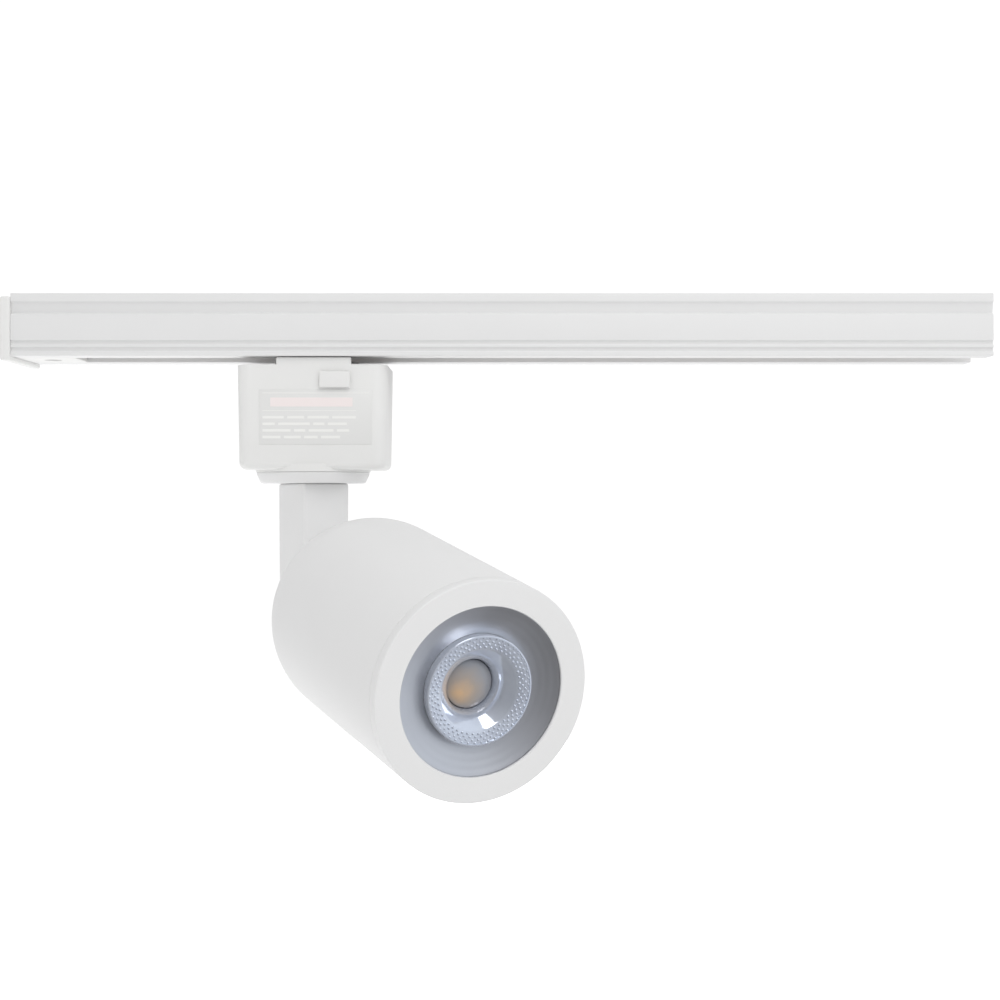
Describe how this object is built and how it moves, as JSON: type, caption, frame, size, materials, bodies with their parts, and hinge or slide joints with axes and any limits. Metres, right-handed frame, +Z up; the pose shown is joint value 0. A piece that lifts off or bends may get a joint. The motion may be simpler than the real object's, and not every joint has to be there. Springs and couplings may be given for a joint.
{
  "type": "track spotlight",
  "caption": "Round white LED spotlight that swivels and tilts on an adapter, which slides along a short ceiling track with an end cap.",
  "frame": {"origin": "on the track's top face, where it meets the ceiling, on the head's swivel axis", "axes": "+X along the track, away from the end cap; +Y across the track, away from the latch button; +Z up, into the ceiling"},
  "size_m": [0.2852, 0.1359, 0.1332],
  "materials": {
    "white_paint": "satin white powder coat",
    "white_plastic": "satin white moulding",
    "carrier_plastic": "pale grey extrusion",
    "nylon": "natural nylon",
    "label_film": "printed film with blank bars",
    "zinc_steel": "zinc plated",
    "copper": "drawn copper strip",
    "brass": "stamped brass",
    "aluminium": "die cast",
    "silver_dish": "spun, satin silver",
    "clear_lens": "clear moulded acrylic",
    "led_board_white": "white solder mask on aluminium",
    "phosphor": "yellow phosphor gel",
    "driver_board_green": "green solder mask",
    "winding_tape": "polyester tape",
    "capacitor_sleeve": "shrink sleeve",
    "chip_black": "moulded epoxy",
    "lead_white": "insulated wire",
    "lead_red": "insulated wire",
    "lead_black": "insulated wire"
  },
  "bodies": {
    "track": {"track_body": "white_paint", "conductor_carrier_front": "carrier_plastic", "conductor_carrier_rear": "carrier_plastic", "conductor_front": "copper", "conductor_rear": "copper", "end_cap": "white_plastic", "end_cap_screw": "zinc_steel"},
    "adapter": {"adapter_housing": "white_plastic", "adapter_cover": "white_plastic", "cover_screw_left": "zinc_steel", "cover_screw_right": "zinc_steel", "contact_frame": "white_plastic", "contact_cap": "white_plastic", "contact_cap_screw": "zinc_steel", "contact_blade_front": "brass", "contact_blade_rear": "brass", "rating_label": "label_film", "supply_lead_front": "lead_white", "supply_lead_rear": "lead_white", "latch_spring_left": "zinc_steel", "latch_spring_right": "zinc_steel"},
    "latch": {"release_latch": "white_plastic"},
    "swivel": {"swivel_tube": "zinc_steel", "swivel_washer": "nylon", "stop_washer": "zinc_steel", "swivel_nut": "zinc_steel", "swivel_collar": "white_paint", "arm": "white_paint", "arm_grub_screw": "zinc_steel", "tilt_screw": "zinc_steel", "tilt_insert": "brass", "tilt_washer_left": "nylon", "tilt_washer_right": "nylon"},
    "head": {"head_body": "white_paint", "front_ring": "white_paint", "dish": "silver_dish", "lens": "clear_lens", "lens_holder": "white_plastic", "led_board": "led_board_white", "led_emitter": "phosphor", "led_screw_1": "zinc_steel", "led_screw_2": "zinc_steel", "led_lead_upper": "lead_red", "led_lead_lower": "lead_black", "heat_sink": "aluminium", "driver_case": "nylon", "driver_board": "driver_board_green", "driver_transformer": "winding_tape", "driver_capacitor": "capacitor_sleeve", "driver_rectifier": "chip_black", "driver_lead": "lead_white"}
  },
  "joints": [
    {"name": "track_slide", "type": "slide", "parent": "track", "child": "adapter", "axis": [1, 0, 0], "range_m": [-0.058, 0.174]},
    {"name": "latch_pull", "type": "slide", "parent": "adapter", "child": "latch", "axis": [0, 0, -1], "range_m": [0, 0.0023], "stiffness_N_per_m": 800, "springref_m": -0.0015, "deforming": ["latch_spring_left", "latch_spring_right"]},
    {"name": "head_swivel", "type": "hinge", "parent": "adapter", "child": "swivel", "pos_m": [0, 0, -0.05], "axis": [0, 0, 1], "range_deg": [-201, 149]},
    {"name": "head_tilt", "type": "hinge", "parent": "swivel", "child": "head", "pos_m": [0, 0, -0.0827], "axis": [0.8988, 0.4384, 0], "range_deg": [-11.2, 78.8]}
  ]
}
